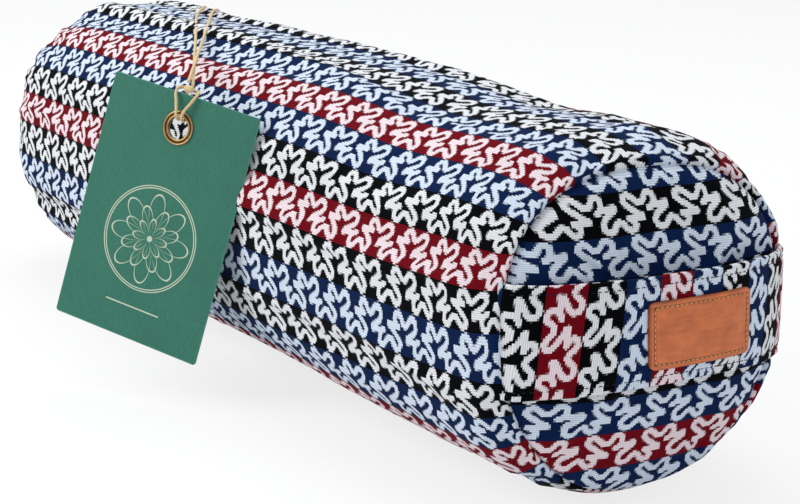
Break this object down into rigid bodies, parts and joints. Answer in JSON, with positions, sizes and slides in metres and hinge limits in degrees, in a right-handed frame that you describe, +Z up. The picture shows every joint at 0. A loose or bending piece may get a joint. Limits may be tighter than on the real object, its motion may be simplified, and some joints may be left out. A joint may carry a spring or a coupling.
{
  "type": "yoga bolster",
  "caption": "Round yoga bolster in striped scroll jacquard with a wide carry handle and leather label on one end, a zipped cover over a filled inner case and a corded swing tag",
  "frame": {"origin": "on the floor, under the middle of the side panel", "axes": "+X along the bolster towards the carry handle, +Z up, the zip at +Y, the swing tag at -Y"},
  "size_m": [0.7101, 0.3046, 0.218],
  "materials": {
    "jacquard_cotton": "woven cotton jacquard, stripes of navy, wine red and black with an off-white scroll",
    "plain_cotton": "plain undyed cotton",
    "spelt_husk": "loose spelt husk, shown as one filling",
    "tan_leather": "tan leather with a stitched border, bare",
    "zip_tape": "woven polyester tape",
    "zip_teeth": "moulded acetal",
    "zip_metal": "nickel-plated zinc",
    "green_card": "uncoated green card, printed side bare",
    "eyelet_brass": "thin rolled brass",
    "gold_cord": "twisted cord of gold yarn"
  },
  "bodies": {
    "bolster": {"cover_side_panel": "jacquard_cotton", "cover_end_front": "jacquard_cotton", "cover_end_rear": "jacquard_cotton", "carry_handle": "jacquard_cotton", "handle_label": "tan_leather", "zip_tape_upper": "zip_tape", "zip_tape_lower": "zip_tape", "zip_teeth_upper": "zip_teeth", "zip_teeth_lower": "zip_teeth", "zip_top_stop_upper": "zip_metal", "zip_top_stop_lower": "zip_metal", "zip_bottom_stop": "zip_metal", "liner_side_panel": "plain_cotton", "liner_end_front": "plain_cotton", "liner_end_rear": "plain_cotton", "husk_fill": "spelt_husk", "tag_knot": "gold_cord", "tag_strand_left": "gold_cord", "tag_strand_right": "gold_cord"},
    "zip_slider_body": {"zip_slider": "zip_metal"},
    "zip_pull_body": {"zip_pull": "zip_metal"},
    "swing_tag": {"tag_card": "green_card", "tag_eyelet": "eyelet_brass", "tag_eyelet_washer": "eyelet_brass", "tag_hitch": "gold_cord"}
  },
  "joints": [
    {"name": "zip_slide", "type": "slide", "parent": "bolster", "child": "zip_slider_body", "axis": [1, 0, 0], "range_m": [0, 0.39], "deforming": ["zip_teeth_upper", "zip_teeth_lower"]},
    {"name": "zip_pull_hinge", "type": "hinge", "parent": "zip_slider_body", "child": "zip_pull_body", "pos_m": [-0.19735, 0.11195, 0.108], "axis": [0, 0, 1], "range_deg": [0, 160]},
    {"name": "tag_swing", "type": "hinge", "parent": "bolster", "child": "swing_tag", "pos_m": [0.0141, -0.1185, 0.2015], "axis": [-0.866, -0.5, 0], "range_deg": [0, 75]}
  ]
}
